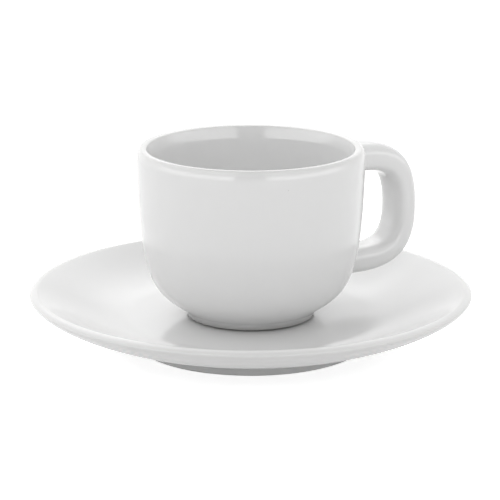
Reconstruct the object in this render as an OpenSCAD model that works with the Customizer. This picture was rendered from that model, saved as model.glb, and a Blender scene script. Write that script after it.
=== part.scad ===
// Espresso cup standing on its saucer, in millimetres.
// The origin is the centre of the saucer's base on the table, +Z is up and the handle points along +X.

/* [Saucer] */
// Diameter of the saucer at the widest line of its rim
saucer_d = 124; // [110:0.5:150]
// Height of the rim's crest above the table
saucer_h = 15.9; // [14:0.1:22]
// Diameter of the flat floor that the cup stands on
well_d = 67; // [50:0.5:76]
// Thickness of the plate under that floor
plate_t = 4.05; // [3:0.05:5]
// Depth of the recess inside the foot ring, above the ring's seat
saucer_recess = 0.8; // [0.3:0.1:1.4]
// Distance from the rim's crest out to its widest line
rim_round_w = 2; // [1.2:0.1:3]
// Height of the rim's crest above its widest line
rim_round_h = 0.9; // [0.5:0.1:1.5]
// Radius of the edge between the rim's crest and the dish
rim_edge_r = 0.8; // [0.4:0.1:1.2]
// Diameter of the foot ring's outer edge, above its bevel
saucer_foot_d = 65.6; // [56:0.1:70]
// Width of the foot ring, from its inner edge to its outer edge
saucer_foot_w = 3.4; // [2.4:0.1:5]
// Height of the foot ring under the plate
saucer_foot_h = 3; // [2:0.1:3.6]
// How far the foot ring spreads outwards where it meets the plate
saucer_foot_spread = 0.8; // [0.4:0.1:2]
// Width and height of the bevel round its standing face
saucer_foot_bevel = 0.35; // [0.2:0.05:0.8]

/* [Cup] */
// Diameter of the cup at its widest line, just under the lip
cup_d = 63.6; // [58:0.1:70]
// Height of the cup from its standing face to the crest of its lip
cup_h = 48.2; // [44:0.1:58]
// Height of the flared mouth inside, from the wall up to the lip's crest
lip_h = 3.6; // [3:0.1:6]
// Height of the lip's outer rounding
lip_round_h = 3.2; // [2:0.1:4.4]
// Distance from the widest line in to the lip's crest
lip_w = 1.4; // [1:0.1:1.8]
// Width and height of the lip's inner rounding, from its crest in to the mouth
lip_edge_w = 1.5; // [0.8:0.1:1.6]
lip_edge_h = 0.5; // [0.3:0.05:0.8]
// Thickness of the wall under the lip
cup_wall = 3.6; // [3.2:0.1:4.5]
// Thickness of the bowl's floor
cup_floor = 2.8; // [2.4:0.1:5]
// Diameter of the bowl where it meets its foot ring
bowl_base_d = 38.6; // [34:0.1:42]
// Rise of the bowl's outside where it leaves the foot ring, in degrees
bowl_rise = 37; // [30:1:50]
// Height of the foot ring under the bowl
cup_foot_h = 2.6; // [2:0.1:3.4]
// Width of the foot ring, from its inner edge to its outer edge
cup_foot_w = 4; // [3:0.1:5]
// How far the foot ring spreads outwards where it meets the bowl
cup_foot_spread = 1.4; // [0.8:0.1:2]
// Lean of its outside from upright, in degrees
cup_foot_lean = 20; // [0:1:26]
// Width of the bevel under the foot ring's outer edge
cup_foot_bevel_w = 1.8; // [0.4:0.1:2.2]
// Height of that bevel
cup_foot_bevel_h = 0.55; // [0.3:0.05:0.8]

/* [Handle] */
// Distance that the handle stands out from the cup's widest line
handle_out = 22.4; // [16:0.1:26]
// Width of the strap, across the handle
handle_w = 11.2; // [8:0.1:13]
// Thickness of the strap at its outermost point
handle_t = 6.9; // [5:0.1:8]
// Thickness of the strap at its upper root
handle_top_t = 8.4; // [6:0.1:9.5]
// Thickness of the strap at its lower root
handle_low_t = 7.8; // [6:0.1:9.5]
// Distance from the lip's crest down to the middle of the upper root
handle_top_drop = 7.15; // [6:0.05:9]
// Height of the middle of the lower root above the cup's standing face
handle_low_h = 11.2; // [10:0.1:15]
// Squareness of the strap's section, where 2 is an ellipse
handle_square = 3; // [2:0.1:5]
// Width of the slip fillet that thickens each root
slip_w = 0.8; // [0:0.1:1.6]

/* [Hidden] */
$fn = 96;

// Steps along each curved stretch of an outline, and round an edge
curve_steps = 16;
edge_steps = 6;

// Foot rings: the bevel's ends are softened, and the outside leaves it along its lean, then spreads along the rise of
// what it carries, and the inside widens downwards
foot_soft_share = 0.2;
foot_lean_share = 0.6;
foot_blend_share = 0.45;
foot_draft_share = 0.3;

// Saucer: radii and heights that follow from the sizes above
saucer_r = saucer_d / 2;
well_r = well_d / 2;
crest_r = saucer_r - rim_round_w;
rim_wide_h = saucer_h - rim_round_h;
plate_under_h = saucer_foot_h + saucer_recess;
well_h = plate_under_h + plate_t;
saucer_seat_r = saucer_foot_d / 2 + saucer_foot_spread;
saucer_foot_in_r = saucer_foot_d / 2 - saucer_foot_w;
saucer_foot_draft = saucer_foot_h * foot_draft_share;
saucer_foot_lean = 0;
// The underside leaves the foot at this rise in degrees and turns upright at the widest line
under_rise = 12;
under_reach_share = 0.588;
under_turn_share = 0.185;
// The dish stays level at the well, then runs up to the crest
dish_level_share = 0.34;
dish_turn_shares = [0.3, 0.43];
// The rim slopes from its crest to its widest line, and its ends are rounded over this share
rim_soft_share = 0.35;

// Cup: radii and heights above its standing face
cup_r = cup_d / 2;
lip_crest_r = cup_r - lip_w;
lip_low_h = cup_h - lip_h;
cup_wide_h = cup_h - lip_round_h;
bowl_base_r = bowl_base_d / 2;
bowl_recess_share = 0.28;
bowl_recess = cup_foot_h * bowl_recess_share;
bowl_under_h = cup_foot_h + bowl_recess;
bowl_floor_h = bowl_under_h + cup_floor;
cup_foot_r = bowl_base_r - cup_foot_spread;
cup_foot_in_r = cup_foot_r - cup_foot_w;
cup_foot_draft = cup_foot_h * foot_draft_share;
// The outside leaves the foot along its rise and turns into a nearly upright wall, with this lean in degrees
bowl_reach_share = 0.74;
bowl_turn_share = 0.879;
wall_lean = 0.8;
// The inside leaves the floor level and turns into the wall
floor_flat_share = 0.2;
floor_reach_share = 0.76;
inside_turn_share = 0.92;
inside_lean = 2;
// The mouth flares from the wall to the lip's inner edge, at these angles from upright at its lower and upper end
mouth_low_flare = 10;
mouth_top_flare = 15;
mouth_share = 0.3;

// Handle: its far point, and how its middle line leaves each root and turns upright at the far point
handle_far_share = 0.45;
handle_top_rise = 6.8;
handle_low_rise = 10;
handle_top_reach_share = 0.92;
handle_top_turn_share = 0.62;
handle_low_turn_share = 1.27;
handle_low_reach_share = 0.325;
// The lower root runs on inside the wall for this share of its radius, where the bowl cuts it off
handle_tail_share = 0.3;
// Steps along each half of the strap and points round its section
strap_steps = 20;
section_points = 24;
tail_steps = 2;
// Depth of the slip fillet along the strap
slip_reach = slip_w * 3;

// Shapes: a cubic curve through two ends, its slope, and a stretch of an ellipse
function curve_at(p, t) =
    pow(1 - t, 3) * p[0] + 3 * pow(1 - t, 2) * t * p[1] + 3 * (1 - t) * t * t * p[2] + pow(t, 3) * p[3];
function curve_slope(p, t) =
    pow(1 - t, 2) * (p[1] - p[0]) + 2 * (1 - t) * t * (p[2] - p[1]) + t * t * (p[3] - p[2]);
function curve(p, n) = [for (i = [0 : n]) curve_at(p, i / n)];
function bend(centre, rx, rz, a0, a1, n) =
    [for (i = [0 : n]) let (a = a0 + (a1 - a0) * i / n) centre + [rx * cos(a), rz * sin(a)]];
function along(a) = [cos(a), sin(a)];
// Points that follow one another closer than this are one point
same_point = 0.001;
function clean(p) = [for (i = [0 : len(p) - 1]) if (i == 0 || norm(p[i] - p[i - 1]) > same_point) p[i]];

// Outline of the bowl's outside, from the foot ring's seat up to the lip's crest
bowl_outside = concat(
    curve([
        [bowl_base_r, cup_foot_h],
        [bowl_base_r, cup_foot_h] + (cup_r - bowl_base_r) * bowl_reach_share * along(bowl_rise),
        [cup_r, cup_wide_h] - (cup_wide_h - cup_foot_h) * bowl_turn_share * along(90 - wall_lean),
        [cup_r, cup_wide_h]
    ], curve_steps * 2),
    bend([lip_crest_r, cup_wide_h], lip_w, lip_round_h, 0, 90, curve_steps)
);

// Outline of the bowl's inside, from the lip's crest down to the middle of the floor
mouth_r = lip_crest_r - lip_edge_w;
mouth_h = cup_h - lip_edge_h;
inner_r = cup_r - cup_wall;
bowl_inside = concat(
    bend([lip_crest_r, mouth_h], lip_edge_w, lip_edge_h, 90, 180, edge_steps),
    curve([
        [mouth_r, mouth_h],
        [mouth_r, mouth_h] - lip_h * mouth_share * along(90 - mouth_top_flare),
        [inner_r, lip_low_h] + lip_h * mouth_share * along(90 - mouth_low_flare),
        [inner_r, lip_low_h]
    ], curve_steps),
    curve([
        [inner_r, lip_low_h],
        [inner_r, lip_low_h] - (lip_low_h - bowl_floor_h) * inside_turn_share * along(90 - inside_lean),
        [inner_r * floor_reach_share, bowl_floor_h],
        [inner_r * floor_flat_share, bowl_floor_h]
    ], curve_steps * 2),
    [[0, bowl_floor_h]]
);

// Outline of the plate, from the middle of the well out over the rim and back under it
rim_inner = [crest_r - rim_edge_r, saucer_h - rim_edge_r * dish_turn_shares[0]];
plate_top = concat(
    [[0, well_h]],
    curve([
        [well_r, well_h],
        [well_r + (rim_inner[0] - well_r) * dish_level_share, well_h],
        rim_inner - (rim_inner[0] - well_r) * dish_turn_shares[0] * [1, dish_turn_shares[1]],
        rim_inner
    ], curve_steps)
);
plate_rim = concat(
    curve([
        rim_inner,
        rim_inner + rim_edge_r * dish_turn_shares[0] * [1, dish_turn_shares[1]],
        [crest_r - rim_edge_r * dish_turn_shares[0], saucer_h],
        [crest_r, saucer_h]
    ], edge_steps),
    curve([
        [crest_r, saucer_h],
        [crest_r + rim_round_w * rim_soft_share, saucer_h],
        [saucer_r, rim_wide_h + rim_round_h * rim_soft_share],
        [saucer_r, rim_wide_h]
    ], curve_steps / 2)
);
plate_under = curve([
    [saucer_r, rim_wide_h],
    [saucer_r, rim_wide_h - (rim_wide_h - saucer_foot_h) * under_turn_share],
    [saucer_seat_r, saucer_foot_h] + (saucer_r - saucer_seat_r) * under_reach_share * along(under_rise),
    [saucer_seat_r, saucer_foot_h]
], curve_steps);

// Foot ring: a flat standing face, a rounded inner edge, a bevelled outer edge, an outside that leans outwards and
// spreads to the seat along the given rise, and a drafted inside
module foot_ring(out_r, ring_w, ring_h, spread, bevel, lean, rise, draft) {
    in_r = out_r - ring_w;
    face = [out_r - bevel[0], 0];
    edge = [out_r, bevel[1]];
    seat = [out_r + spread, ring_h];
    rotate_extrude()
        polygon(clean(concat(
            bend([in_r + bevel[1], bevel[1]], bevel[1], bevel[1], 180, 270, edge_steps),
            curve([
                face,
                face + [bevel[0], 0] * foot_soft_share,
                edge - [0, bevel[1]] * foot_soft_share,
                edge
            ], edge_steps),
            curve([
                edge,
                edge + (ring_h - bevel[1]) * foot_lean_share * [tan(lean), 1],
                seat - spread * foot_blend_share * [1, tan(rise)],
                seat
            ], edge_steps * 2),
            [[in_r - draft, ring_h]]
        )));
}

module saucer_foot_ring() {
    color("gainsboro")
        foot_ring(saucer_foot_d / 2, saucer_foot_w, saucer_foot_h, saucer_foot_spread,
            [saucer_foot_bevel, saucer_foot_bevel], saucer_foot_lean, under_rise, saucer_foot_draft);
}

module saucer_plate() {
    recess_r = saucer_foot_in_r - saucer_foot_draft;
    color("white")
        rotate_extrude()
            polygon(clean(concat(
                plate_top,
                plate_rim,
                plate_under,
                [[recess_r, saucer_foot_h]],
                bend([recess_r - saucer_recess, saucer_foot_h], saucer_recess, saucer_recess, 0, 90, edge_steps),
                [[0, plate_under_h]]
            )));
}

// The space that the cup's body fills, which the handle's roots stop against
module bowl_body() {
    rotate_extrude()
        polygon(clean(concat([[0, cup_foot_h]], bowl_outside, [[0, cup_h]])));
}

module cup_foot_ring() {
    color("gainsboro")
        translate([0, 0, well_h])
            foot_ring(cup_foot_r, cup_foot_w, cup_foot_h, cup_foot_spread,
                [cup_foot_bevel_w, cup_foot_bevel_h], cup_foot_lean, bowl_rise, cup_foot_draft);
}

module cup_bowl() {
    recess_r = cup_foot_in_r - cup_foot_draft;
    color("white")
        translate([0, 0, well_h])
            rotate_extrude()
                polygon(clean(concat(
                    bowl_outside,
                    bowl_inside,
                    [[0, bowl_under_h]],
                    bend([recess_r - bowl_recess, cup_foot_h], bowl_recess, bowl_recess, 90, 0, edge_steps)
                )));
}

// The strap's middle line runs from the upper root out to the far point, then back in to the lower root and its tail
handle_far_r = cup_r + handle_out - handle_t / 2;
handle_top_r = cup_r - cup_wall / 2;
handle_top_h = cup_h - handle_top_drop;
handle_low_r = lookup(handle_low_h, [for (q = bowl_outside) [q[1], q[0]]]);
handle_far_h = handle_low_h + (handle_top_h - handle_low_h) * handle_far_share;
strap_upper = [
    [handle_top_r, handle_top_h],
    [handle_top_r, handle_top_h] + (handle_far_r - handle_top_r) * handle_top_reach_share * along(handle_top_rise),
    [handle_far_r, handle_far_h + (handle_top_h - handle_far_h) * handle_top_turn_share],
    [handle_far_r, handle_far_h]
];
strap_lower = [
    [handle_far_r, handle_far_h],
    [handle_far_r, handle_far_h - (handle_far_h - handle_low_h) * handle_low_turn_share],
    [handle_low_r, handle_low_h] + (handle_far_r - handle_low_r) * handle_low_reach_share * along(handle_low_rise),
    [handle_low_r, handle_low_h]
];
strap_tail = [
    [handle_low_r, handle_low_h],
    [handle_low_r, handle_low_h] - handle_low_r * handle_tail_share * along(handle_low_rise)
];
// A place on the strap is 0 at the upper root, 1 at the far point, 2 at the lower root and 3 at the tail's end
function strap_at(s) =
    s < 1 ? curve_at(strap_upper, s) :
    s < 2 ? curve_at(strap_lower, s - 1) :
    strap_tail[0] + (strap_tail[1] - strap_tail[0]) * (s - 2);
function strap_along(s) =
    let (d = s < 1 ? curve_slope(strap_upper, s) : s < 2 ? curve_slope(strap_lower, s - 1) : -along(handle_low_rise))
    d / norm(d);
// The strap thins from its roots to the far point, and the slip thickens it where it nears the wall
function easing(s) = (1 - cos(180 * min(1, s))) / 2;
function strap_thickness(s) = s < 1
    ? handle_top_t + (handle_t - handle_top_t) * easing(s)
    : handle_t + (handle_low_t - handle_t) * easing(s - 1);
function off_wall(s) = max(0, strap_at(s)[0] - (s < 1 ? cup_r : handle_low_r));
function slip_at(s) = slip_w * exp(-pow(off_wall(s) / slip_reach, 2));
function squared(c) = sign(c) * pow(abs(c), 2 / handle_square);
function strap_ring(s) =
    let (p = strap_at(s), d = strap_along(s), side = [d[1], -d[0]])
    let (half_t = strap_thickness(s) / 2 + slip_at(s), half_w = handle_w / 2 + slip_at(s))
    [for (j = [0 : section_points - 1])
        let (a = 360 * j / section_points, q = p + side * half_t * squared(cos(a)))
        [q[0], half_w * squared(sin(a)), q[1]]];

module strap() {
    m = section_points;
    places = concat(
        [for (i = [0 : 2 * strap_steps]) i / strap_steps],
        [for (i = [1 : tail_steps]) 2 + i / tail_steps]
    );
    last = len(places) - 1;
    points = [for (s = places) each strap_ring(s)];
    sides = [for (i = [0 : last - 1], j = [0 : m - 1])
        let (a = i * m + j, b = i * m + (j + 1) % m) each [[a, b, b + m], [a, b + m, a + m]]];
    first_end = [for (j = [m - 1 : -1 : 0]) j];
    last_end = [for (j = [0 : m - 1]) last * m + j];
    polyhedron(points, concat(sides, [first_end, last_end]));
}

module cup_handle() {
    color("white")
        translate([0, 0, well_h])
            difference() {
                strap();
                bowl_body();
            }
}

saucer_plate();
saucer_foot_ring();
cup_bowl();
cup_foot_ring();
cup_handle();
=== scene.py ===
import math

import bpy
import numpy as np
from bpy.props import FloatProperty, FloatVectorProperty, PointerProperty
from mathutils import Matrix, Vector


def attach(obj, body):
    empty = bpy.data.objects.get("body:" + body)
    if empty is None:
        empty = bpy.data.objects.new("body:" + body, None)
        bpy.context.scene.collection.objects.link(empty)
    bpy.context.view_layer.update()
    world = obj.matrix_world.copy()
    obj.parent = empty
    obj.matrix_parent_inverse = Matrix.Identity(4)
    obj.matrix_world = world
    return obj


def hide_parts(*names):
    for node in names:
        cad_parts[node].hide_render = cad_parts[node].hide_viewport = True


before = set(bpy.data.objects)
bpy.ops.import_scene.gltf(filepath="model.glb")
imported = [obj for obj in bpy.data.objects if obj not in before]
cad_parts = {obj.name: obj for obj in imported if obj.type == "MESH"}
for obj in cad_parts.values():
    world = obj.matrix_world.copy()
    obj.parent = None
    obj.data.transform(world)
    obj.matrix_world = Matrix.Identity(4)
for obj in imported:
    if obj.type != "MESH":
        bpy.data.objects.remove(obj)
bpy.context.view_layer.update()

bl_info = {
    "name": "Espresso Cup and Saucer",
    "version": (1, 0, 0),
    "blender": (4, 5, 0),
    "location": "View3D > Sidebar > Cup and Saucer",
    "description": "Turns, sweeps, glazes and lights a porcelain espresso cup on its saucer",
    "category": "Object",
}

# Forms of the outlines. Unless a line says otherwise, each is a share of its own stretch's width or height.

# Foot rings
FOOT_SOFT = 0.2  # how far the bevel's two ends stay straight
FOOT_LEAN = 0.6  # how far the outside keeps its lean above the bevel
FOOT_BLEND = 0.45  # how far it has the slope of what it carries under the seat, per its spread
FOOT_DRAFT = 0.3  # how much the inside widens downwards, per height of the ring

# Saucer
DISH_LEVEL = 0.34  # how far the dish stays level where it leaves the well
DISH_TURN = 0.3  # how far it keeps its slope at the rim, and the same share for the rim's edge
DISH_SLOPE = 0.43  # rise over run at the rim
RIM_SOFT = 0.35  # how far the rim's rounding stays level at its crest and upright at its widest line
UNDER_REACH = 0.588  # how far the underside keeps its rise at the foot ring
UNDER_TURN = 0.185  # how far it stays upright under the widest line

# Bowl
BOWL_REACH = 0.74  # how far the outside keeps its rise at the foot ring
BOWL_TURN = 0.879  # how far it stays steep under the widest line
BOWL_STEEP = math.radians(89.2)  # its slope there
BOWL_RECESS = 0.28  # depth of the recess under the floor, per height of the foot ring
FLOOR_FLAT = 0.2  # how far from the axis the inside is level, per radius of the wall's inside
FLOOR_REACH = 0.76  # how far out it keeps that level
INSIDE_TURN = 0.92  # how far the inside stays steep under the mouth
INSIDE_STEEP = math.radians(88)  # its slope there
MOUTH_REACH = 0.3  # how far the mouth keeps its slope at either end
MOUTH_STEEP = math.radians(80)  # its slope at its lower end

# Handle
FAR_HEIGHT = 0.45  # height of the far point, on the way from the lower root up to the upper one
UPPER_RISE = math.radians(6.8)  # slope of the strap's middle line at the upper root
UPPER_REACH = 0.92  # how far the line keeps that slope
UPPER_TURN = 0.62  # how far it stays upright above the far point
LOWER_TURN = 1.27  # how far it stays upright below the far point
LOWER_REACH = 0.325  # how far it keeps its slope at the lower root
LOWER_RISE = math.radians(10)  # that slope

# Fineness of the surfaces
AROUND = 288  # points round a turned piece
STRAP_AROUND = 112  # points round the strap's section
STRAP_RINGS = 150  # rings of the strap between its two fillets
FILLET_RINGS = 15  # rings of each fillet
SINK_RINGS = 4  # rings that carry each fillet under the wall's surface
SINK = 0.00006  # how deep the last of them lies, in metres
SINK_SPREAD = 0.0004  # how far the last of them stands out from the fillet, in metres
UPPER_SEARCH = (0.6, -0.2)  # where the upper fillet is looked for, from the strap into the wall
LOWER_SEARCH = (1.4, 2.35)  # where the lower one is
SEARCH_STEPS = 500
SAME_POINT = 1e-6  # points of an outline that are nearer than this are one point, in metres
LEAST_STEP = 1e-9  # added to the length of each step of an outline, so that none is 0
ON_AXIS = 1e-7  # an outline that starts nearer to the axis than this has poles, in metres
SHARP = math.radians(40)  # edges that turn more than this are shaded as sharp

# Patterns in the glaze and the clay: wavelengths and heights in metres
CLOUD_WAVE = 0.03  # slow change of the glaze's depth
CLOUD_SHARE = 0.16  # how far that change moves the depth
GRAIN_WAVE = 0.0028  # fine change of the glaze's tone
GRAIN_SHARE = 0.1  # how much of the darker tone shows at most
GRAIN_TONE = 0.94  # that tone, as a share of the glaze's colour
GLOSS_WAVE = 0.018  # change of the glaze's roughness
GLOSS_SMOOTH, GLOSS_ROUGH = 0.85, 1.25  # least and most roughness, as shares of the glaze's own
PIT_SPACING = 0.007  # distance between the cells that may hold a pinpoint
PIT_EDGE = (0.028, 0.018)  # from a pinpoint's rim in to its full tone, as shares of that distance
PIT_RARE = 0.86  # share of the cells without a pinpoint
PIT_TONE = 0.22  # how much of the darkest clay tone, the painted contact shadow's tone, a pinpoint shows
PEEL_HEIGHT, WAVE_HEIGHT, PIT_DEPTH = 0.6e-6, 12e-6, 2e-6
EVEN_DEPTH = 0.5  # depth of the glaze on a plain face
FILLET_POOL_SHADE = 0.35  # how much deeper the glaze lies in the handle's fillets, where the deep glaze is tinted darker as painted shade
THIN_EDGE = (0.46, 0.2)  # from where the glaze starts to look thin to where it fully does, in its depth
POOL_SHADE_EDGE = (0.54, 0.8)  # from where it starts to look deep to where it fully does; deep glaze is tinted darker there as painted shade
LINE_WAVE = 0.009  # wander of the glaze's lower edge on a foot ring
LINE_WANDER = 0.0005  # height of that wander
LINE_SOFT = 0.00005  # softness of that edge, up and down
THIN_ABOVE = (0.0024, 0.0002)  # from where the glaze starts to thin to where it is thinnest, above its edge; the thin glaze there darkens the foot ring as painted shade
SAND_WAVE = 0.0006  # grain of the bare clay
SAND_TONE = 0.93  # darker tone of that grain, as a share of the clay's colour
SAND_HEIGHT = 30e-6
GLAZE_STEP = 60e-6  # how far the glaze stands out over the clay
CLAY_ROUGH = 0.72  # roughness of the clay
CONTACT_SHADE_WAVE = 0.004  # patches of painted contact shadow on the clay
CONTACT_SHADE_HEIGHT = (0.00022, 0.00002)  # from where the painted contact shadow starts to where it is full, above the standing face
CONTACT_SHADE_SHARE = 0.6  # how much of the near-black contact shadow tone shows at most
MIDDLE = (0.3, 0.7)  # the parts of a noise's range that the patterns use
NARROW_MIDDLE = (0.35, 0.65)
HIGH_MIDDLE = (0.35, 0.75)

# Stage. Heights are sines of the angle above the floor. Angles round the object start at the camera.
FLOOR_RADIUS = 4
FLOOR_SIDES = 64
SENSOR_WIDTH = 36
CLIP_NEAR, CLIP_FAR = 0.01, 50
NEAR_SIDE = (math.radians(118), math.radians(86))  # from behind the cup to beside it
OVERHEAD = (0.8, 0.96)  # from the walls to the dim top
TENT_FOOT = (0.03, 0.15)  # from the bright foot to the walls
BOX_SOFT = math.radians(15)  # softness of the soft box's edge, in and out
FRONT_SOFT, STRIP_SOFT, SLOT_SOFT = 0.06, 0.05, 0.03  # softness of other edges, up and down


def length(name, description, default, low=0.0, high=1.0):
    """A length in metres, shown in the scene's own unit."""
    return FloatProperty(name=name, description=description, default=default, min=low, max=high,
                         precision=5, subtype="DISTANCE", unit="LENGTH")


def share(name, description, default, low=0.0, high=1.0):
    """A plain number, such as a share of a length, a roughness or a brightness."""
    return FloatProperty(name=name, description=description, default=default, min=low, max=high,
                         precision=4)


def angle(name, description, degrees):
    """An angle, written here in degrees."""
    return FloatProperty(name=name, description=description, default=math.radians(degrees),
                         subtype="ANGLE", unit="ROTATION")


def colour(name, description, default):
    """A linear colour."""
    return FloatVectorProperty(name=name, description=description, default=default, size=3, min=0,
                               max=1, subtype="COLOR")


class SaucerSizes(bpy.types.PropertyGroup):
    """Sizes of the saucer's plate and foot ring"""

    radius: length("Radius", "Radius of the rim's widest line", 0.062)
    height: length("Height", "Height of the rim's crest above the table", 0.0159)
    well_radius: length("Well radius", "Radius of the flat floor that the cup stands on", 0.0335)
    well_height: length("Well height", "Height of that floor above the table", 0.00785)
    thickness: length("Thickness", "Thickness of the plate under the floor", 0.00405)
    rim_width: length("Rim rounding width", "From the rim's crest out to its widest line", 0.002)
    rim_height: length("Rim rounding height", "From the rim's widest line up to its crest", 0.0009)
    rim_edge: length("Rim edge", "Radius between the crest and the dish", 0.0008)
    foot_radius: length("Foot radius", "Radius of the foot ring's outer edge, above its bevel", 0.0328)
    foot_width: length("Foot width", "Width of the foot ring", 0.0034)
    foot_height: length("Foot height", "Height of the foot ring under the plate", 0.003)
    foot_spread: length("Foot spread", "How far the foot ring spreads where it meets the plate", 0.0008)
    foot_bevel: length("Foot bevel", "Width and height of the bevel round the standing face", 0.00035)
    rise: angle("Underside rise", "Slope of the underside where it leaves the foot ring", 12)


class CupSizes(bpy.types.PropertyGroup):
    """Sizes of the bowl and its foot ring"""

    radius: length("Radius", "Radius of the widest line, under the lip", 0.0318)
    height: length("Height", "From the standing face to the crest of the lip", 0.0482)
    lip_height: length("Mouth height", "Height of the flared mouth inside, up to the lip's crest", 0.0036)
    lip_round: length("Lip rounding", "Height of the lip's outer rounding", 0.0032)
    lip_width: length("Lip width", "From the widest line in to the lip's crest", 0.0014)
    edge_width: length("Lip edge width", "Width of the lip's inner rounding, in from its crest", 0.0015)
    edge_height: length("Lip edge height", "Height of the lip's inner rounding", 0.0005)
    wall: length("Wall", "Thickness of the wall under the lip", 0.0036)
    floor: length("Floor", "Thickness of the bowl's floor", 0.0028)
    base_radius: length("Base radius", "Radius of the bowl where it meets its foot ring", 0.0193)
    foot_height: length("Foot height", "Height of the foot ring under the bowl", 0.0026)
    foot_width: length("Foot width", "Width of the foot ring", 0.004)
    foot_spread: length("Foot spread", "How far the foot ring spreads where it meets the bowl", 0.0014)
    foot_lean: angle("Foot lean", "Lean of the foot ring's outside from upright", 20)
    bevel_width: length("Foot bevel width", "Width of the bevel under the foot ring's outer edge", 0.0018)
    bevel_height: length("Foot bevel height", "Height of that bevel", 0.00055)
    rise: angle("Base rise", "Slope of the bowl's outside where it leaves the foot ring", 37)
    mouth: angle("Mouth flare", "How far the mouth's inside opens from upright at the lip", 15)


class HandleSizes(bpy.types.PropertyGroup):
    """Sizes of the strap handle"""

    reach: length("Reach", "How far the strap stands out from the cup's widest line", 0.0224)
    width: length("Width", "Width of the strap across the handle", 0.0112)
    middle: length("Middle thickness", "Thickness of the strap at its far point", 0.0069)
    upper: length("Upper thickness", "Thickness of the strap at its upper root", 0.0084)
    lower: length("Lower thickness", "Thickness of the strap at its lower root", 0.0078)
    drop: length("Upper root", "From the lip's crest down to the middle of the upper root", 0.00715)
    rise: length("Lower root", "From the standing face up to the middle of the lower root", 0.0112)
    square: share("Squareness", "Squareness of the strap's section, where 2 is an ellipse", 3.0, 2, 8)
    slip: length("Slip fillet", "Radius of the fillet of slip round each root", 0.0016)


class GlazeLook(bpy.types.PropertyGroup):
    """Colour and gloss of the glaze and the bare clay"""

    glaze: colour("Glaze", "Colour of the white glaze", (0.745, 0.745, 0.743))
    thin: colour("Thin glaze", "Colour where the glaze runs thin over an edge", (0.72, 0.718, 0.712))
    # Pooled glaze: a cooler tint, and also darker as painted shade in corners and in the handle's fillets
    pool: colour("Pooled glaze", "Colour where the glaze lies deep in a corner", (0.7, 0.706, 0.708))
    # The clay's dark grey is painted shade for the bare foot rings and the gap under them
    shaded_clay: colour("Clay", "Colour of the bare fired clay", (0.3, 0.295, 0.288))
    # The near-black rubbed tone is a painted contact shadow at the standing faces; the glaze's pinpoints use
    # it too
    pit_and_contact_shade: colour("Rubbed clay", "Colour of the clay where it has rubbed on tables", (0.16, 0.157, 0.152))
    roughness: share("Glaze roughness", "Roughness of the glaze", 0.13)
    ior: share("Glaze index", "Refractive index of the glaze", 1.52, 1, 3)
    peel: length("Glaze peel", "Wavelength of the fine unevenness of the glaze", 0.0014)
    wave: length("Glaze wave", "Wavelength of the slow unevenness of the glaze", 0.011)
    # Below each glaze line the foot shows the dark clay, and the glaze above it thins towards that clay by
    # the given share: painted shade on the foot rings, and on the cup a painted shadow line at the contact
    saucer_line: length("Saucer glaze line", "Height of the glaze's edge above the saucer's standing face",
                        0.0001)
    saucer_thin_shade: share("Saucer glaze thinning", "How much clay shows through the glaze at that edge", 0.1)
    cup_line: length("Cup glaze line", "Height of the glaze's edge above the cup's standing face", 0.0005)
    cup_thin_shade: share("Cup glaze thinning", "How much clay shows through the glaze at that edge", 0.6)


class StageLook(bpy.types.PropertyGroup):
    """Camera, floor and light"""

    turn: angle("Handle turn", "How far the handle points away from the camera's right", 32)
    pitch: angle("Camera pitch", "How far the camera looks down", 14.954)
    roll: angle("Camera roll", "Turn of the camera about its own line of sight", 0.06)
    distance: length("Camera distance", "From the camera to the point it looks at", 0.6181, 0.1, 10)
    aim_height: length("Aim height", "Height of the point that the camera looks at", 0.02639)
    aim_side: length("Aim side", "Sideways place of the point that the camera looks at", -0.0002,
                     low=-0.1, high=0.1)
    lens: share("Lens", "Focal length in millimetres on a 36 mm sensor", 158.76, 10, 400)
    floor: colour("Floor", "Colour of the floor", (0.8, 0.8, 0.8))
    floor_glow: share("Floor glow", "Brightness added where the floor is seen, which lights nothing", 0.72)
    floor_mirror: share("Floor in mirrors", "Brightness added where the glaze mirrors the floor", 0.45)
    ring: share("Tent", "Brightness of the tent's walls", 1.3, 0, 5)
    front: share("Tent front", "Brightness of the lower walls beside and in front of the cup", 0.92, 0, 5)
    front_tall: angle("Tent front height", "Height up to which those walls are dimmer", 30)
    lean: share("Tent lean", "How much brighter the tent is on the left", 0.2, -1)
    foot: share("Tent foot", "Brightness just over the floor, as a share of what is above", 1.5, 0, 5)
    top: share("Tent top", "Brightness of the tent overhead", 0.05, 0, 5)
    box: share("Soft box", "Brightness of the soft box behind the cup", 3.1, 0, 9)
    box_mirror: share("Soft box in mirrors", "Its brightness where the glaze mirrors it", 2.5, 0, 9)
    box_turn: angle("Soft box turn", "How far the soft box stands to the right of straight behind", -3)
    box_rise: angle("Soft box height", "Height of the soft box above the floor", 37)
    box_size: angle("Soft box size", "Half the angle that the soft box fills", 8)
    strip: share("Strips", "Brightness of the low strips that the glaze mirrors, beside and in front",
                 3.1, 0, 5)
    strip_tall: angle("Strip height", "Height of the strips' upper edge", 17)
    slot: share("Slot", "Brightness, in the glaze, of the slot that the camera looks through", 0.05)
    slot_wide: angle("Slot width", "Half the angle of that slot", 16)
    slot_tall: angle("Slot height", "Height of that slot's upper edge", 57)


GROUPS = {
    "saucer": SaucerSizes,
    "cup": CupSizes,
    "handle": HandleSizes,
    "glaze": GlazeLook,
    "stage": StageLook,
}


def values(group):
    """The scene's own values of one property group, by its short name."""
    return getattr(bpy.context.scene, "espresso_" + group)


# Outlines, as arrays of (radius, height)


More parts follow.
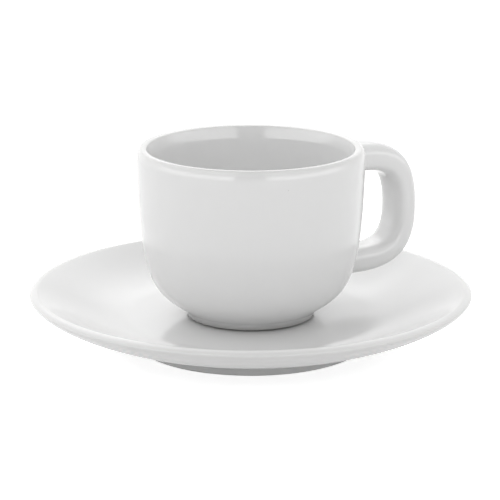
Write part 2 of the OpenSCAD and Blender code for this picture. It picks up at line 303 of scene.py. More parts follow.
def cubic_point(a, b, c, d, t):
    """Point at t of the cubic that leaves a towards b and reaches d from c: the sum of the four points, with
    (1 - t)^3, 3 (1 - t)^2 t, 3 (1 - t) t^2 and t^3 of them."""
    return (1 - t) ** 3 * a + 3 * (1 - t) ** 2 * t * b + 3 * (1 - t) * t * t * c + t**3 * d


def curve(a, b, c, d, steps):
    """The cubic that leaves a towards b and reaches d from c, in even steps of its t from 0 to 1."""
    a, b, c, d = (np.asarray(p, float) for p in (a, b, c, d))
    return cubic_point(a, b, c, d, np.linspace(0, 1, steps + 1)[:, None])


def bend(centre, rx, rz, start, end, steps):
    """Stretch of an ellipse: centre + (rx cos a, rz sin a), with a in degrees from start to end."""
    a = np.radians(np.linspace(start, end, steps + 1))
    return np.asarray(centre, float) + np.stack([rx * np.cos(a), rz * np.sin(a)], 1)


def along(a):
    """Unit vector that rises at angle a."""
    return np.array([math.cos(a), math.sin(a)])


def joined(*parts):
    """The parts one after the other, without points that repeat their neighbour."""
    p = np.concatenate([np.atleast_2d(q) for q in parts])
    keep = np.r_[True, np.hypot(*np.diff(p, axis=0).T) > SAME_POINT]
    return p[keep]


def bowl_outside():
    """Outside of the bowl: a cubic from the foot ring up to the widest line, then a quarter ellipse in to the
    lip's crest."""
    c = values("cup")
    low = c.height - c.lip_round
    base = np.array([c.base_radius, c.foot_height])
    wide = np.array([c.radius, low])
    return joined(
        curve(base, base + (c.radius - c.base_radius) * BOWL_REACH * along(c.rise),
              wide - (low - c.foot_height) * BOWL_TURN * along(BOWL_STEEP), wide, steps=110),
        bend([c.radius - c.lip_width, low], c.lip_width, c.lip_round, 0, 90, steps=40),
    )


def bowl_inside():
    """Inside of the bowl from the lip's crest: a small rounding, the flared mouth, the wall and the floor."""
    c = values("cup")
    crest = c.radius - c.lip_width
    low = c.height - c.lip_height
    floor = c.foot_height * (1 + BOWL_RECESS) + c.floor
    mouth = np.array([crest - c.edge_width, c.height - c.edge_height])
    wall = np.array([c.radius - c.wall, low])
    return joined(
        bend([crest, c.height - c.edge_height], c.edge_width, c.edge_height, 90, 180, steps=24),
        curve(mouth, mouth - c.lip_height * MOUTH_REACH * along(math.pi / 2 - c.mouth),
              wall + c.lip_height * MOUTH_REACH * along(MOUTH_STEEP), wall, steps=40),
        curve(wall, wall - (low - floor) * INSIDE_TURN * along(INSIDE_STEEP),
              [wall[0] * FLOOR_REACH, floor], [wall[0] * FLOOR_FLAT, floor], steps=110),
        [0, floor],
    )


def bowl_outline():
    """The whole outline of the bowl, closed under its floor by the shallow recess inside the foot ring."""
    c = values("cup")
    recess = c.foot_height * BOWL_RECESS
    inner = c.base_radius - c.foot_spread - c.foot_width - c.foot_height * FOOT_DRAFT
    return joined(
        bowl_outside(),
        bowl_inside(),
        [0, c.foot_height + recess],
        bend([inner - recess, c.foot_height], recess, recess, 90, 0, steps=10),
    )


def plate_outline():
    """Well, dish, rim, flared underside and the recess inside the foot ring, from axis to axis."""
    s = values("saucer")
    well = np.array([s.well_radius, s.well_height])
    crest = np.array([s.radius - s.rim_width, s.height])
    wide = np.array([s.radius, s.height - s.rim_height])
    dish = np.array([crest[0] - s.rim_edge, s.height - s.rim_edge * DISH_TURN])
    run = dish[0] - s.well_radius
    slope = np.array([1, DISH_SLOPE])
    seat = np.array([s.foot_radius + s.foot_spread, s.foot_height])
    under = s.well_height - s.thickness
    recess = s.foot_radius - s.foot_width - s.foot_height * FOOT_DRAFT
    edge = under - s.foot_height
    return joined(
        [0, s.well_height],
        curve(well, well + [run * DISH_LEVEL, 0], dish - run * DISH_TURN * slope, dish, steps=60),
        curve(dish, dish + s.rim_edge * DISH_TURN * slope, crest - [s.rim_edge * DISH_TURN, 0], crest,
              steps=12),
        curve(crest, crest + [s.rim_width * RIM_SOFT, 0], wide + [0, s.rim_height * RIM_SOFT], wide,
              steps=20),
        curve(wide, wide - [0, (wide[1] - s.foot_height) * UNDER_TURN],
              seat + (s.radius - seat[0]) * UNDER_REACH * along(s.rise), seat, steps=50),
        [recess, s.foot_height],
        bend([recess - edge, s.foot_height], edge, edge, 0, 90, steps=12),
        [0, under],
    )


def foot_outline(outer, width, height, spread, bevel, lean, rise):
    """Closed outline of a foot ring: rounded inner edge, flat standing face, bevelled outer edge, an outside
    that leans outwards and spreads to the seat along the rise, and a drafted inside."""
    inner = outer - width
    wide, tall = bevel
    face, edge, seat = np.array([[outer - wide, 0], [outer, tall], [outer + spread, height]])
    return joined(
        bend([inner + tall, tall], tall, tall, 180, 270, steps=10),
        curve(face, face + [wide * FOOT_SOFT, 0], edge - [0, tall * FOOT_SOFT], edge, steps=16),
        curve(edge, edge + (height - tall) * FOOT_LEAN * np.array([math.tan(lean), 1]),
              seat - spread * FOOT_BLEND * np.array([1, math.tan(rise)]), seat, steps=24),
        [inner - height * FOOT_DRAFT, height],
    )


# Surfaces


def closed_mesh(name, points, quads, triangles=()):
    """A smooth mesh of the points and faces, turned so that the volume its faces enclose is positive."""
    quads = np.asarray(quads, int).reshape(-1, 4)
    triangles = np.asarray(triangles, int).reshape(-1, 3)
    halves = np.concatenate([quads[:, [0, 1, 2]], quads[:, [0, 2, 3]], triangles])
    a, b, c = points[halves].transpose(1, 0, 2)
    if np.einsum("ij,ij->", a, np.cross(b, c)) < 0:
        quads, triangles = quads[:, ::-1], triangles[:, ::-1]
    mesh = bpy.data.meshes.new(name)
    mesh.from_pydata(points.tolist(), [], quads.tolist() + triangles.tolist())
    mesh.polygons.foreach_set("use_smooth", np.ones(len(mesh.polygons), bool))
    mesh.update()
    return mesh


def ring_faces(rings, around, closed):
    """Quads between neighbouring rings of points, and the triangles at the ends. A closed stack joins its
    last ring to its first. An open one gets a fan at each end, about the two points that follow the rings."""
    i = np.arange(rings if closed else rings - 1)[:, None]
    j = np.arange(around)
    after = (j + 1) % around
    here, there = i * around, (i + 1) % rings * around
    quads = np.stack([here + j, here + after, there + after, there + j], -1).reshape(-1, 4)
    if closed:
        return quads, []
    first, last = rings * around, rings * around + 1
    end = first - around
    fans = np.concatenate([
        np.stack([np.full(around, first), after, j], 1),
        np.stack([np.full(around, last), end + j, end + after], 1),
    ])
    return quads, fans


def revolve(outline):
    """Turns (radius, height) about the axis: point (r cos a, r sin a, z) for each outline point and angle a.
    An outline that starts and ends on the axis gets one pole at each end. Any other is closed on itself."""
    poles = outline[0, 0] < ON_AXIS
    r, z = (outline[1:-1] if poles else outline).T[:, :, None]
    a = np.arange(AROUND) * 2 * np.pi / AROUND
    points = np.stack([r * np.cos(a), r * np.sin(a), z + 0 * a], -1).reshape(-1, 3)
    quads, fans = ring_faces(len(r), AROUND, closed=not poles)
    if poles:
        points = np.concatenate([points, [[0, 0, outline[0, 1]], [0, 0, outline[-1, 1]]]])
    return points, quads, fans


def glaze_depth_and_corner_shade(outline, reach=0.0006, beside=3):
    """How deep the glaze lies along an outline, from 0 on a tight outer edge to 1 in a tight inner corner. It
    is the even depth less the outline's outward turn in radians per reach in metres, averaged over the given
    number of points on either side. Where it is deep, the glaze is tinted darker as painted shade."""
    step = np.diff(np.concatenate([outline, outline[:1]]), axis=0)
    size = np.hypot(*step.T) + LEAST_STEP
    heading = np.unwrap(np.arctan2(step[:, 1], step[:, 0]))
    turn = np.diff(np.r_[heading[:1], heading]) / size
    area = np.sum(outline[:, 0] * np.roll(outline[:, 1], -1) - np.roll(outline[:, 0], -1) * outline[:, 1])
    window = 2 * beside + 1
    turn = np.convolve(np.pad(turn, beside, mode="edge"), np.ones(window) / window, "valid")
    return np.clip(EVEN_DEPTH - math.copysign(1, area) * turn * reach, 0, 1)


def add_object(name, data):
    """A new object of the data at the origin, linked to the scene."""
    piece = bpy.data.objects.new(name, data)
    bpy.context.collection.objects.link(piece)
    return piece


def place(name, mesh, body, node, material, depth):
    """Puts a finished mesh in the scene in place of its CAD node, on that node's body, with the depth of the
    glaze at each of its points, which also sets the painted shade in corners."""
    layer = mesh.attributes.new("glaze_depth_and_corner_shade", "FLOAT", "POINT")
    layer.data.foreach_set("value", np.asarray(depth, np.float32))
    mesh.set_sharp_from_angle(angle=SHARP)
    mesh.materials.append(material)
    piece = add_object(name, mesh)
    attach(piece, body)
    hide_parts(node)


def turned(name, outline, lift, body, node, material):
    """A turned piece: its outline revolved about the axis and lifted to where it stands."""
    points, quads, fans = revolve(outline)
    points[:, 2] += lift
    depth = glaze_depth_and_corner_shade(outline)
    if len(fans):
        depth = np.r_[np.repeat(depth[1:-1], AROUND), depth[0], depth[-1]]
    else:
        depth = np.repeat(depth, AROUND)
    place(name, closed_mesh(name, points, quads, fans), body, node, material, depth)


def cubic_heading(ends, t):
    """Points and unit headings at t along the cubic of four points. The heading follows the curve's slope:
    (1 - t)^2 of the first leg, 2 (1 - t) t of the second and t^2 of the third."""
    t = np.asarray(t)[..., None]
    a, b, c, d = ends
    slope = (1 - t) ** 2 * (b - a) + 2 * (1 - t) * t * (c - b) + t * t * (d - c)
    return cubic_point(a, b, c, d, t), slope / np.linalg.norm(slope, axis=-1, keepdims=True)


def strap_line(s):
    """The strap's middle line and heading at s: 0 at the upper root, 1 at the far point, 2 at the lower root.
    Two cubics meet upright at the far point. Beyond each root the line runs straight on into the wall."""
    c, h = values("cup"), values("handle")
    outside = bowl_outside()
    root = np.array([c.radius - c.wall / 2, c.height - h.drop])
    low = np.array([np.interp(h.rise, outside[:, 1], outside[:, 0]), h.rise])
    far = np.array([c.radius + h.reach - h.middle / 2, h.rise + (root[1] - h.rise) * FAR_HEIGHT])
    upper = [
        root,
        root + (far[0] - root[0]) * UPPER_REACH * along(UPPER_RISE),
        far + [0, (root[1] - far[1]) * UPPER_TURN],
        far,
    ]
    lower = [
        far,
        far - [0, (far[1] - low[1]) * LOWER_TURN],
        low + (far[0] - low[0]) * LOWER_REACH * along(LOWER_RISE),
        low,
    ]
    s = np.asarray(s, float)
    upper_point, upper_heading = cubic_heading(upper, np.clip(s, 0, 1))
    lower_point, lower_heading = cubic_heading(lower, np.clip(s - 1, 0, 1))
    is_upper = (s < 1)[..., None]
    point = np.where(is_upper, upper_point, lower_point)
    heading = np.where(is_upper, upper_heading, lower_heading)
    beyond = np.minimum(s, 0) + np.maximum(s - 2, 0)
    return point + heading * beyond[..., None] * c.radius, heading


def signed_power(x, power):
    """The power of x's size, with x's own sign."""
    return np.sign(x) * np.abs(x) ** power


def strap_point(s, a):
    """Point of the strap at s and at angle a round its section, and the section's outward normal. The section
    is a superellipse: with n the squareness, |u / half thickness|^n + |v / half width|^n is 1."""
    h = values("handle")
    middle, heading = strap_line(s)
    ease = (1 - np.cos(np.pi * np.clip(np.abs(s - 1), 0, 1))) / 2
    half_thick = (h.middle + (np.where(s < 1, h.upper, h.lower) - h.middle) * ease) / 2
    half_wide = h.width / 2
    u = signed_power(np.cos(a), 2 / h.square)
    v = signed_power(np.sin(a), 2 / h.square)
    side = np.stack([heading[..., 1], 0 * s, -heading[..., 0]], -1)
    centre = np.stack([middle[..., 0], 0 * s, middle[..., 1]], -1)
    across = np.array([0.0, 1.0, 0.0])
    point = centre + side * (half_thick * u)[..., None] + across * (half_wide * v)[..., None]
    along_side = signed_power(u, h.square - 1) / half_thick
    along_across = signed_power(v, h.square - 1) / half_wide
    normal = side * along_side[..., None] + across * along_across[..., None]
    return point, normal / np.linalg.norm(normal, axis=-1, keepdims=True)


def off_wall(point):
    """Distance of a point from the bowl's outside, and the wall's outward normal there. It is the gap along
    the radius, times the cosine of the wall's lean."""
    outside = bowl_outside()
    z = point[..., 2]
    wall = np.interp(z, outside[:, 1], outside[:, 0])
    slope = np.interp(z, outside[:, 1], np.gradient(outside[:, 0], outside[:, 1]))
    r = np.hypot(point[..., 0], point[..., 1])
    cos = 1 / np.sqrt(1 + slope**2)
    normal = np.stack([point[..., 0] / r * cos, point[..., 1] / r * cos, -slope * cos], -1)
    return (r - wall) * cos, normal


def strap_root(low, high, a, gap, out):
    """Rings of one root of the strap, and the s of the first of them. Each line along the strap, at angle a
    of its section, is followed from s = low to s = high, and a point is taken at each distance from the wall
    in gap. The point is then moved outwards by out, and set to its distance again."""
    s = np.linspace(low, high, SEARCH_STEPS)
    distance = off_wall(strap_point(s[:, None], a[None])[0])[0]
    clear = np.maximum(gap, 0)[:, None]
    k = np.argmax(distance[None] < clear[:, :, None], axis=1)
    j = np.arange(len(a))[None]
    before, after = distance[k - 1, j], distance[k, j]
    met = s[k - 1] + (s[k] - s[k - 1]) * ((before - clear) / (before - after))
    point, normal = strap_point(met, np.broadcast_to(a, met.shape))
    point = point + normal * out[:, None, None]
    distance, wall = off_wall(point)
    return point - wall * (distance - gap[:, None])[..., None], met[0]


def strap_surface():
    """The strap as a grid of rings by angles, with the depth of the glaze at each point. Between its roots
    it follows the section. One fillet radius f from the wall it turns outwards on a quarter circle: at fillet
    angle q its distance from the wall is f (1 - sin q), and it stands f (1 - cos q) out from the strap. Past
    the quarter it sinks a hair under the wall's surface. The glaze is deeper in the fillets, where it is
    tinted darker as painted shade."""
    f = values("handle").slip
    a = (np.arange(STRAP_AROUND) + 0.5) * 2 * np.pi / STRAP_AROUND
    q = np.linspace(0, np.pi / 2, FILLET_RINGS)
    sunk = np.linspace(0, 1, SINK_RINGS + 1)[1:]
    gap = np.r_[f * (1 - np.sin(q)), -SINK * sunk**2]
    out = np.r_[f * (1 - np.cos(q)), f + SINK_SPREAD * sunk]
    upper, start = strap_root(*UPPER_SEARCH, a, gap, out)
    lower, end = strap_root(*LOWER_SEARCH, a, gap, out)
    t = np.linspace(0, 1, STRAP_RINGS + 2)[1:-1, None]
    s = start + (end - start) * t
    middle = strap_point(s, np.broadcast_to(a, s.shape))[0]
    rings = np.concatenate([upper[::-1], middle, lower])
    quads, fans = ring_faces(len(rings), STRAP_AROUND, closed=False)
    depth = np.full((len(rings), STRAP_AROUND), EVEN_DEPTH)
    # Deeper glaze in the fillets, tinted darker as painted shade round the roots
    shade = np.r_[EVEN_DEPTH + FILLET_POOL_SHADE * np.sin(2 * q), np.full(SINK_RINGS, EVEN_DEPTH)]
    depth[: len(shade)] = shade[::-1, None]
    depth[-len(shade):] = shade[:, None]
    points = np.concatenate([rings.reshape(-1, 3), [rings[0].mean(0), rings[-1].mean(0)]])
    return points, quads, fans, np.r_[depth.ravel(), EVEN_DEPTH, EVEN_DEPTH]


# Materials


class Nodes:
    """Adds nodes to a material's or the world's tree."""

    def __init__(self, tree):
        self.tree = tree
        tree.nodes.clear()

    def add(self, kind, settings=None, **inputs):
        """A node with the given settings and inputs. An input is named i and its number, or by its own name
        with an underscore for each space, and takes a value or another node's output."""
        node = self.tree.nodes.new(kind)
        for key, value in (settings or {}).items():
            setattr(node, key, value)
        for key, value in inputs.items():
            numbered = key[0] == "i" and key[1:].isdigit()
            socket = node.inputs[int(key[1:]) if numbered else key.replace("_", " ")]
            if isinstance(value, bpy.types.NodeSocket):
                self.tree.links.new(value, socket)
            else:
                socket.default_value = value
        return node

    def here(self):
        """The place on the piece, in its Object coordinates."""
        return self.add("ShaderNodeTexCoord").outputs["Object"]

    def math(self, operation, a, b=0.0):
        """One sum or function of a and b."""
        return self.add("ShaderNodeMath", {"operation": operation}, i0=a, i1=b).outputs[0]

    def blend(self, factor, a, b):
        """The number a where the factor is 0, and b where it is 1."""
        return self.add("ShaderNodeMix", {"data_type": "FLOAT"}, i0=factor, i2=a, i3=b).outputs[0]

    def mix(self, factor, a, b):
        """The colour a where the factor is 0, and b where it is 1."""
        return self.add("ShaderNodeMix", {"data_type": "RGBA"}, i0=factor, i6=a, i7=b).outputs[2]

    def noise(self, where, wavelength, detail=2.0, roughness=0.5):
        """Noise about 0.5, with the wavelength in metres."""
        return self.add("ShaderNodeTexNoise", Vector=where, Scale=1 / wavelength, Detail=detail,
                        Roughness=roughness).outputs["Fac"]

    def ramp(self, value, low, high, to_low=0.0, to_high=1.0):
        """A smooth step from to_low to to_high, while the value goes from low to high."""
        return self.add("ShaderNodeMapRange", {"interpolation_type": "SMOOTHSTEP"}, Value=value, i1=low,
                        i2=high, i3=to_low, i4=to_high).outputs[0]

    def surface(self, tint, gloss, height):
        """The material's surface: its colour, its roughness and the height of its skin in metres."""
        bump = self.add("ShaderNodeBump", Height=height, Distance=1.0, Strength=1.0)
        shader = self.add("ShaderNodeBsdfPrincipled", Base_Color=tint, Roughness=gloss,
                          IOR=values("glaze").ior, Normal=bump.outputs["Normal"])
        self.add("ShaderNodeOutputMaterial", Surface=shader.outputs[0])


def rgba(linear, tone=1.0):
    """A linear colour with full opacity, as the sockets take it, times the tone."""
    return (*(c * tone for c in linear), 1.0)


def new_material(name):
    """An empty material and its nodes."""
    material = bpy.data.materials.new(name)
    material.use_nodes = True
    return material, Nodes(material.node_tree)


def glaze_material():
    """White gloss glaze: thinner and warmer on edges, deeper and cooler in corners, where it is also darker
    as painted shade, with a faint uneven gloss and skin, and clay showing through as a few pale grey
    pinpoints. The bowl, plate and handle share it."""
    name = "white_glaze"
    if name in bpy.data.materials:
        return bpy.data.materials[name]
    look = values("glaze")
    material, n = new_material(name)
    here = n.here()
    depth = n.add("ShaderNodeAttribute", {"attribute_name": "glaze_depth_and_corner_shade"}).outputs["Fac"]
    cloud = n.math("SUBTRACT", n.noise(here, CLOUD_WAVE, detail=3.0), 0.5)
    uneven = n.math("ADD", depth, n.math("MULTIPLY", cloud, CLOUD_SHARE))
    tint = n.mix(n.ramp(uneven, *THIN_EDGE), rgba(look.glaze), rgba(look.thin))
    # Deep glaze in corners: a cooler tint, darker as painted shade
    tint = n.mix(n.ramp(uneven, *POOL_SHADE_EDGE), tint, rgba(look.pool))
    grain = n.ramp(n.noise(here, GRAIN_WAVE, detail=4.0, roughness=0.6), *HIGH_MIDDLE, 0.0, GRAIN_SHARE)
    tint = n.mix(grain, tint, rgba(look.glaze, GRAIN_TONE))
    cells = n.add("ShaderNodeTexVoronoi", {"feature": "F1"}, Vector=here, Scale=1 / PIT_SPACING,
                  Randomness=1.0)
    chance = n.add("ShaderNodeSeparateColor", Color=cells.outputs["Color"]).outputs[0]
    pit = n.math("MULTIPLY", n.ramp(cells.outputs["Distance"], *PIT_EDGE),
                 n.math("GREATER_THAN", chance, PIT_RARE))
    tint = n.mix(n.math("MULTIPLY", pit, PIT_TONE), tint, rgba(look.pit_and_contact_shade))
    peel = n.math("MULTIPLY", n.noise(here, look.peel, roughness=0.4), PEEL_HEIGHT)
    wave = n.math("MULTIPLY", n.noise(here, look.wave, detail=1.0), WAVE_HEIGHT)
    height = n.math("SUBTRACT", n.math("ADD", peel, wave), n.math("MULTIPLY", pit, PIT_DEPTH))
    gloss = n.ramp(n.noise(here, GLOSS_WAVE, detail=3.0), *MIDDLE, look.roughness * GLOSS_SMOOTH,
                   look.roughness * GLOSS_ROUGH)
    n.surface(tint, gloss, height)
    return material


def foot_material(name, lift, line, thin_shade):
    """Glaze that thins towards a wandering line above the standing face, by the given share at the line, over
    bare clay, darkest in patches where it touches the table. The clay's dark tone, the thin glaze that lets
    it show and those patches are painted shade on the foot ring, with a painted contact shadow at the
    standing face."""
    look = values("glaze")
    material, n = new_material(name)
    here = n.here()
    height = n.math("SUBTRACT", n.add("ShaderNodeSeparateXYZ", Vector=here).outputs["Z"], lift)
    wander = n.math("MULTIPLY", n.math("SUBTRACT", n.noise(here, LINE_WAVE), 0.5), LINE_WANDER)
    height = n.math("ADD", height, wander)
    glazed = n.ramp(height, line - LINE_SOFT, line + LINE_SOFT)
    depth = n.add("ShaderNodeAttribute", {"attribute_name": "glaze_depth_and_corner_shade"}).outputs["Fac"]
    # Deep glaze in the seat's corner: darker as painted shade
    glaze = n.mix(n.ramp(depth, *POOL_SHADE_EDGE), rgba(look.glaze), rgba(look.pool))
    # Thin glaze over the dark clay darkens the foot ring above the glaze line: painted shade
    thin = n.ramp(height, *(line + above for above in THIN_ABOVE), 0.0, thin_shade)
    glaze = n.mix(thin, glaze, rgba(look.shaded_clay))
    sand = n.noise(here, SAND_WAVE, detail=4.0, roughness=0.7)
    # Dark clay with a sand grain: painted shade on the bare foot
    shaded_clay = n.mix(n.ramp(sand, *MIDDLE), rgba(look.shaded_clay, SAND_TONE), rgba(look.shaded_clay))
    # Darkest patches at the standing face: a painted contact shadow
    patches = n.ramp(n.noise(here, CONTACT_SHADE_WAVE, detail=4.0, roughness=0.6), *NARROW_MIDDLE)
    contact_shade = n.math("MULTIPLY", n.ramp(height, *CONTACT_SHADE_HEIGHT), patches)
    shaded_clay = n.mix(n.math("MULTIPLY", contact_shade, CONTACT_SHADE_SHARE), shaded_clay, rgba(look.pit_and_contact_shade))
    tint = n.mix(glazed, shaded_clay, glaze)
    gloss = n.math("ADD", n.math("MULTIPLY", glazed, look.roughness - CLAY_ROUGH), CLAY_ROUGH)
    peel = n.math("MULTIPLY", n.noise(here, look.peel, roughness=0.4), PEEL_HEIGHT)
    bare_sand = n.math("MULTIPLY", sand, n.math("SUBTRACT", 1.0, glazed))
    tooth = n.math("MULTIPLY", bare_sand, SAND_HEIGHT)
    step = n.math("MULTIPLY", glazed, GLAZE_STEP)
    n.surface(tint, gloss, n.math("ADD", n.math("ADD", peel, tooth), step))
    return material


# Stage


def stage_vector(x, y, z=0.0):
    """A direction seen by the camera, x to its right and y away from it, in the object's own frame."""
    turn = values("stage").turn
    return Vector((x * math.cos(turn) + y * math.sin(turn), y * math.cos(turn) - x * math.sin(turn), z))


def seen(n):
    """Two outputs: 1 where the camera sees, straight or through glass, and 1 where a gloss mirrors. Both are
    0 for the light that falls on the object."""
    path = n.add("ShaderNodeLightPath").outputs
    return n.math("MAXIMUM", path["Is Camera Ray"], path["Is Transmission Ray"]), path["Is Glossy Ray"]


def floor_piece():
    """A wide round floor. Its glow shows only where the floor is seen, and keeps the object's shadow."""
    look = values("stage")
    a = np.arange(FLOOR_SIDES) * 2 * np.pi / FLOOR_SIDES
    points = np.stack([FLOOR_RADIUS * np.cos(a), FLOOR_RADIUS * np.sin(a), 0 * a], 1)
    mesh = bpy.data.meshes.new("floor")
    mesh.from_pydata(points.tolist(), [], [list(range(FLOOR_SIDES))])
    material, n = new_material("pale_floor")
    matt = n.add("ShaderNodeBsdfDiffuse", Color=rgba(look.floor))
    camera, glossy = seen(n)
    strength = n.math("ADD", n.math("MULTIPLY", camera, look.floor_glow),
                      n.math("MULTIPLY", glossy, look.floor_mirror))
    glow = n.add("ShaderNodeEmission", Color=(1, 1, 1, 1), Strength=strength)
    both = n.add("ShaderNodeAddShader", i0=matt.outputs[0], i1=glow.outputs[0])
    n.add("ShaderNodeOutputMaterial", Surface=both.outputs[0])
    mesh.materials.append(material)
    floor = add_object("floor", mesh)


def tent_light():
    """A white tent round the object, with dimmer walls beside and in front of it, a soft box behind it, a dim
    top and a brighter foot. What the glaze mirrors has its own level for the soft box, low bright strips in
    place of the foot, and a dark slot for the camera. The camera itself sees plain white."""
    look = values("stage")
    world = bpy.data.worlds.new("white_tent")
    bpy.context.scene.world = world
    world.use_nodes = True
    n = Nodes(world.node_tree)
    way = n.add("ShaderNodeTexCoord").outputs["Generated"]

    def towards(direction):
        """Cosine of the angle between the way and the direction."""
        dot = n.add("ShaderNodeVectorMath", {"operation": "DOT_PRODUCT"}, i0=way, i1=tuple(direction))
        return dot.outputs["Value"]

    def below(edge, soft):
        """1 below the angle of the edge, and 0 above it."""
        edge = math.sin(edge)
        return n.ramp(height, edge + soft, edge - soft)

    def tent(level):
        """The walls, with the soft box at the given level and the dim top."""
        return n.blend(overhead, n.blend(box, walls, level), look.top)

    away, right = towards(stage_vector(0, 1)), towards(stage_vector(1, 0))
    height = n.add("ShaderNodeSeparateXYZ", Vector=way).outputs["Z"]
    side = n.math("ARCTAN2", n.math("ABSOLUTE", right), n.math("MULTIPLY", away, -1.0))
    near = n.ramp(side, *NEAR_SIDE)
    walls = n.math("MULTIPLY", n.math("SUBTRACT", 1.0, n.math("MULTIPLY", right, look.lean)), look.ring)
    walls = n.blend(n.math("MULTIPLY", near, below(look.front_tall, FRONT_SOFT)), walls, look.front)
    flat = math.cos(look.box_rise)
    middle = stage_vector(flat * math.sin(look.box_turn), flat * math.cos(look.box_turn),
                          math.sin(look.box_rise))
    box = n.ramp(towards(middle), math.cos(look.box_size + BOX_SOFT),
                 math.cos(max(look.box_size - BOX_SOFT, 0)))
    overhead = n.ramp(height, *OVERHEAD)
    light = n.math("MULTIPLY", tent(look.box), n.ramp(height, *TENT_FOOT, look.foot, 1.0))
    strips = n.math("MULTIPLY", near, below(look.strip_tall, STRIP_SOFT))
    shine = n.blend(strips, tent(look.box_mirror), look.strip)
    slot = n.math("MULTIPLY", n.ramp(side, look.slot_wide + SLOT_SOFT, look.slot_wide - SLOT_SOFT),
                  below(look.slot_tall, SLOT_SOFT))
    shine = n.blend(slot, shine, look.slot)
    camera, glossy = seen(n)
    strength = n.blend(camera, n.blend(glossy, light, shine), 1.0)
    shader = n.add("ShaderNodeBackground", Color=(1, 1, 1, 1), Strength=strength)
    n.add("ShaderNodeOutputWorld", Surface=shader.outputs[0])


def camera_piece():
    """The photograph's view: it looks down by pitch at a point near the axis, from the given distance."""
    look = values("stage")
    forward = stage_vector(0, math.cos(look.pitch), -math.sin(look.pitch))
    level_up = stage_vector(0, math.sin(look.pitch), math.cos(look.pitch))
    level_right = stage_vector(1, 0)
    right = level_right * math.cos(look.roll) + level_up * math.sin(look.roll)
    up = level_up * math.cos(look.roll) - level_right * math.sin(look.roll)
    aim = stage_vector(look.aim_side, 0, look.aim_height)
    lens = bpy.data.cameras.new("camera")
    lens.sensor_width = SENSOR_WIDTH
    lens.lens = look.lens
    lens.clip_start, lens.clip_end = CLIP_NEAR, CLIP_FAR
    camera = add_object("camera", lens)
    turn = Matrix((right, up, -forward)).transposed().to_4x4()
    camera.matrix_world = Matrix.Translation(aim - forward * look.distance) @ turn
    bpy.context.scene.camera = camera


# Operators


class CUP_OT_saucer_plate(bpy.types.Operator):
    """Turn the saucer's plate and glaze it"""

    bl_idname = "cup.saucer_plate"
    bl_label = "Saucer plate"

    def execute(self, context):
        turned("glazed_plate", plate_outline(), 0.0, "saucer", "saucer_plate", glaze_material())
        return {"FINISHED"}


class CUP_OT_saucer_foot(bpy.types.Operator):
    """Turn the saucer's foot ring, glazed down to its bare standing face"""

    bl_idname = "cup.saucer_foot"
    bl_label = "Saucer foot ring"

    def execute(self, context):
        s, look = values("saucer"), values("glaze")
        outline = foot_outline(s.foot_radius, s.foot_width, s.foot_height, s.foot_spread,
                               (s.foot_bevel, s.foot_bevel), 0, s.rise)
        # The foot ring's dark clay and its thin glaze are painted shade
        material = foot_material("saucer_foot", 0.0, look.saucer_line, look.saucer_thin_shade)
        turned("saucer_foot", outline, 0.0, "saucer", "saucer_foot_ring", material)
        return {"FINISHED"}


class CUP_OT_bowl(bpy.types.Operator):
    """Turn the cup's bowl and glaze it"""

    bl_idname = "cup.bowl"
    bl_label = "Cup bowl"

    def execute(self, context):
        lift = values("saucer").well_height
        turned("glazed_bowl", bowl_outline(), lift, "cup", "cup_bowl", glaze_material())
        return {"FINISHED"}


class CUP_OT_foot(bpy.types.Operator):
    """Turn the cup's foot ring, glazed down to its bare standing face"""

    bl_idname = "cup.foot"
    bl_label = "Cup foot ring"

    def execute(self, context):
        c, look = values("cup"), values("glaze")
        lift = values("saucer").well_height
        outline = foot_outline(c.base_radius - c.foot_spread, c.foot_width, c.foot_height, c.foot_spread,
                               (c.bevel_width, c.bevel_height), c.foot_lean, c.rise)
        # The foot ring's dark clay and its thin glaze are painted shade, with a painted shadow line at the
        # contact
        material = foot_material("cup_foot", lift, look.cup_line, look.cup_thin_shade)
        turned("cup_foot", outline, lift, "cup", "cup_foot_ring", material)
        return {"FINISHED"}


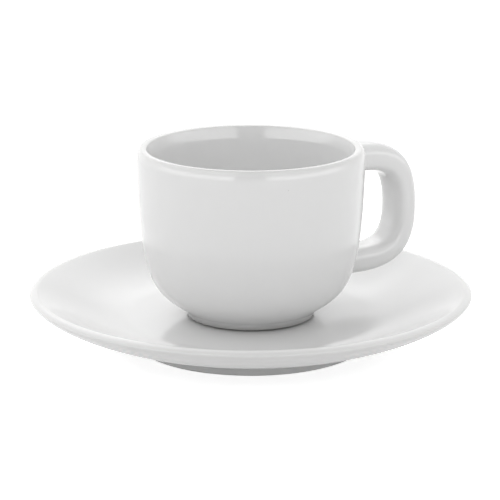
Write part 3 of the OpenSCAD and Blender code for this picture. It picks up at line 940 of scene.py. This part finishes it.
class CUP_OT_handle(bpy.types.Operator):
    """Sweep the strap handle, with a fillet of slip round each root"""

    bl_idname = "cup.handle"
    bl_label = "Cup handle"

    def execute(self, context):
        points, quads, fans, depth = strap_surface()
        points[:, 2] += values("saucer").well_height
        mesh = closed_mesh("glazed_handle", points, quads, fans)
        place("glazed_handle", mesh, "cup", "cup_handle", glaze_material(), depth)
        return {"FINISHED"}


class CUP_OT_stage(bpy.types.Operator):
    """Set up the floor, the tent and the camera"""

    bl_idname = "cup.stage"
    bl_label = "Stage"

    def execute(self, context):
        floor_piece()
        tent_light()
        camera_piece()
        context.scene.view_settings.view_transform = "Standard"
        return {"FINISHED"}


class CUP_PT_panel(bpy.types.Panel):
    """Lists the pieces and their sizes"""

    bl_idname = "CUP_PT_panel"
    bl_label = "Cup and Saucer"
    bl_space_type = "VIEW_3D"
    bl_region_type = "UI"
    bl_category = "Cup and Saucer"

    def draw(self, context):
        for operator in OPERATORS:
            self.layout.operator(operator.bl_idname)
        for short, group in GROUPS.items():
            box = self.layout.box()
            box.label(text=group.__doc__)
            for name in group.__annotations__:
                box.prop(values(short), name)


OPERATORS = [
    CUP_OT_saucer_plate,
    CUP_OT_saucer_foot,
    CUP_OT_bowl,
    CUP_OT_foot,
    CUP_OT_handle,
    CUP_OT_stage,
]
CLASSES = [*GROUPS.values(), *OPERATORS, CUP_PT_panel]


def register():
    """Registers the classes and gives the scene one value of each property group."""
    for kind in CLASSES:
        bpy.utils.register_class(kind)
    for short, group in GROUPS.items():
        setattr(bpy.types.Scene, "espresso_" + short, PointerProperty(type=group))


def unregister():
    """Takes back what register did, in the opposite order."""
    for short in GROUPS:
        delattr(bpy.types.Scene, "espresso_" + short)
    for kind in reversed(CLASSES):
        bpy.utils.unregister_class(kind)


def main():
    """Makes the pieces in order, then the stage."""
    register()
    bpy.ops.cup.saucer_plate()
    bpy.ops.cup.saucer_foot()
    bpy.ops.cup.bowl()
    bpy.ops.cup.foot()
    bpy.ops.cup.handle()
    bpy.ops.cup.stage()


if __name__ == "__main__":
    main()
